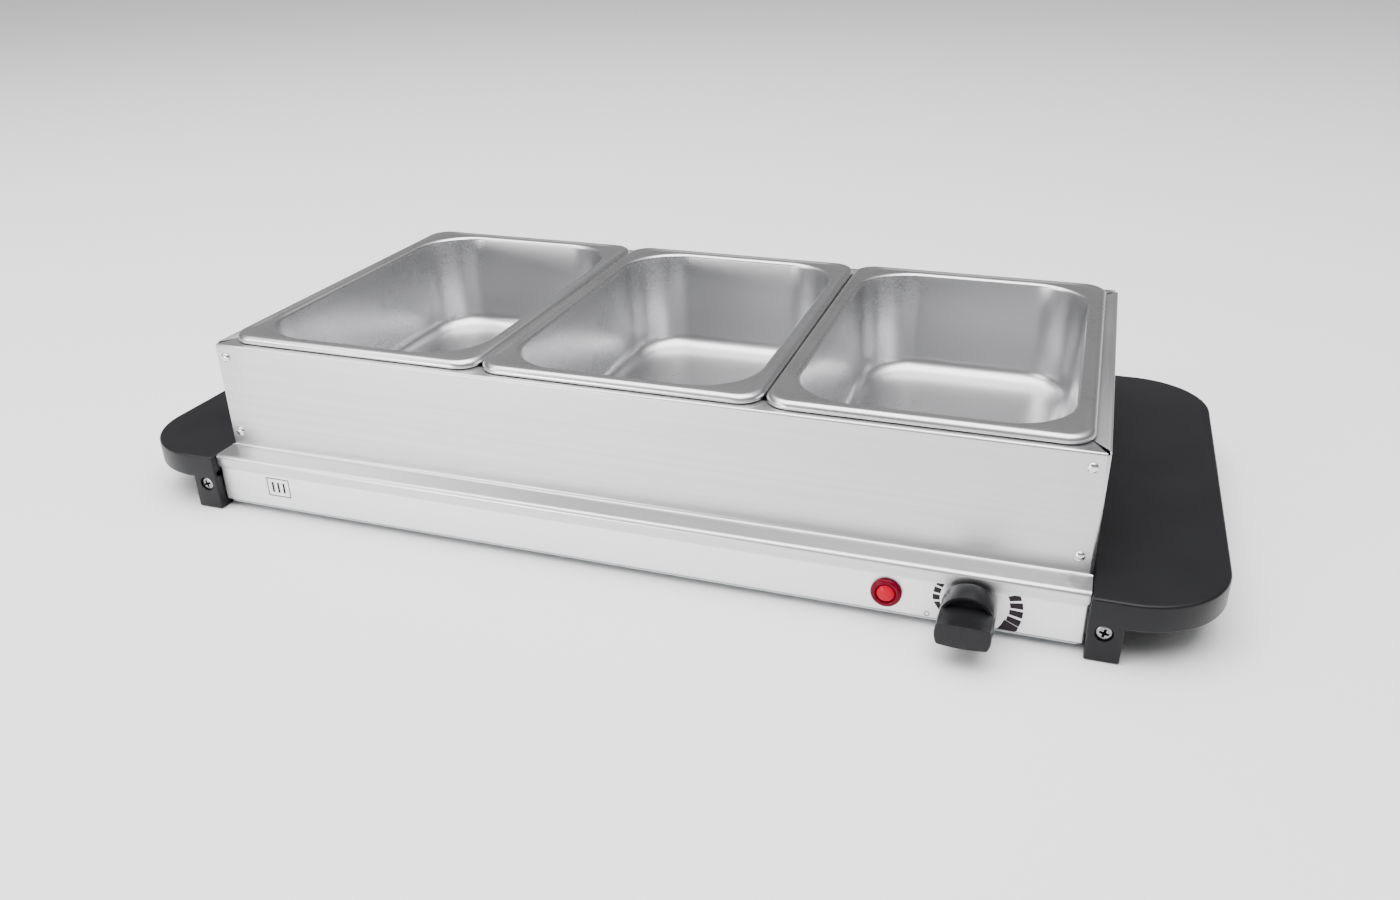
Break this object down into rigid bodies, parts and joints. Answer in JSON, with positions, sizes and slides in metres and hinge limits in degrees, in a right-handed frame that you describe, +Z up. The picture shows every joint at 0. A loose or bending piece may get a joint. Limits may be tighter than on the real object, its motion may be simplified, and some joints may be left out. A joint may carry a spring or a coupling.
{
  "type": "electric buffet server",
  "caption": "Stainless electric buffet server: low warming base with end handles, control knob and pilot lamp, and a lift-off frame that carries lift-out food pans.",
  "frame": {"origin": "on the table under the feet, at the middle of the whole server's bounding box", "axes": "+X along the long side, to the right of somebody facing the controls; -Y towards them; +Z up"},
  "size_m": [0.628, 0.3186, 0.1046],
  "materials": {
    "brushed_steel": "fine horizontal grain, satin",
    "satin_pan_steel": "satin pressed stainless",
    "bright_steel": "plated fasteners and shaft",
    "galvanised_steel": "plain galvanised sheet",
    "aluminium": "plain sheet",
    "black_plastic": "satin black moulding",
    "red_bezel": "dark red, glossy",
    "red_lens": "bright red, glossy",
    "clear_glass": "clear bulb",
    "ceramic": "off-white ceramic",
    "element_sheath": "heat-darkened steel sheath",
    "brown_wire": "brown insulation",
    "blue_wire": "blue insulation",
    "green_wire": "green insulation",
    "black_rubber": "moulded grommet"
  },
  "bodies": {
    "base": {"base_shell": "brushed_steel", "bottom_cover": "galvanised_steel", "cord_gland": "black_rubber", "cover_screw_front_left": "bright_steel", "cover_screw_front_right": "bright_steel", "cover_screw_rear_left": "bright_steel", "cover_screw_rear_right": "bright_steel", "cutout_wire": "brown_wire", "earth_screw": "bright_steel", "earth_wire": "green_wire", "element_clamp_front_left": "galvanised_steel", "element_clamp_front_right": "galvanised_steel", "element_clamp_left": "galvanised_steel", "element_clamp_right": "galvanised_steel", "heat_spreader": "aluminium", "heat_tray": "galvanised_steel", "heating_element": "element_sheath", "lamp_bezel": "red_bezel", "lamp_clip": "galvanised_steel", "lamp_lens": "red_lens", "lamp_wire": "blue_wire", "left_front_handle_screw": "bright_steel", "left_front_lug": "galvanised_steel", "left_handle": "black_plastic", "left_rear_handle_screw": "bright_steel", "left_rear_lug": "galvanised_steel", "live_wire": "brown_wire", "neon_bulb": "clear_glass", "neutral_wire": "blue_wire", "right_front_handle_screw": "bright_steel", "right_front_lug": "galvanised_steel", "right_handle": "black_plastic", "right_rear_handle_screw": "bright_steel", "right_rear_lug": "galvanised_steel", "switched_wire": "brown_wire", "terminal_block": "ceramic", "thermal_cutout": "bright_steel", "thermostat_body": "ceramic", "thermostat_nut": "bright_steel"},
    "knob": {"knob": "black_plastic", "thermostat_shaft": "bright_steel"},
    "frame": {"frame_front_panel": "brushed_steel", "frame_left_end": "brushed_steel", "frame_rear_panel": "brushed_steel", "frame_right_end": "brushed_steel", "rivet_front_left_lower": "bright_steel", "rivet_front_left_upper": "bright_steel", "rivet_front_right_lower": "bright_steel", "rivet_front_right_upper": "bright_steel", "rivet_rear_left_lower": "bright_steel", "rivet_rear_left_upper": "bright_steel", "rivet_rear_right_lower": "bright_steel", "rivet_rear_right_upper": "bright_steel"},
    "pan_left": {"pan_left": "satin_pan_steel"},
    "pan_middle": {"pan_middle": "satin_pan_steel"},
    "pan_right": {"pan_right": "satin_pan_steel"}
  },
  "joints": [
    {"name": "knob_turn", "type": "hinge", "parent": "base", "child": "knob", "pos_m": [0.195, -0.12725, 0.0185], "axis": [0, 1, 0], "range_deg": [-45, 225]},
    {"name": "frame_lift", "type": "slide", "parent": "base", "child": "frame", "axis": [0, 0, 1], "range_m": [0, 0.12]},
    {"name": "pan_left_lift", "type": "slide", "parent": "frame", "child": "pan_left", "axis": [0, 0, 1], "range_m": [0, 0.09]},
    {"name": "pan_middle_lift", "type": "slide", "parent": "frame", "child": "pan_middle", "axis": [0, 0, 1], "range_m": [0, 0.09]},
    {"name": "pan_right_lift", "type": "slide", "parent": "frame", "child": "pan_right", "axis": [0, 0, 1], "range_m": [0, 0.09]}
  ]
}
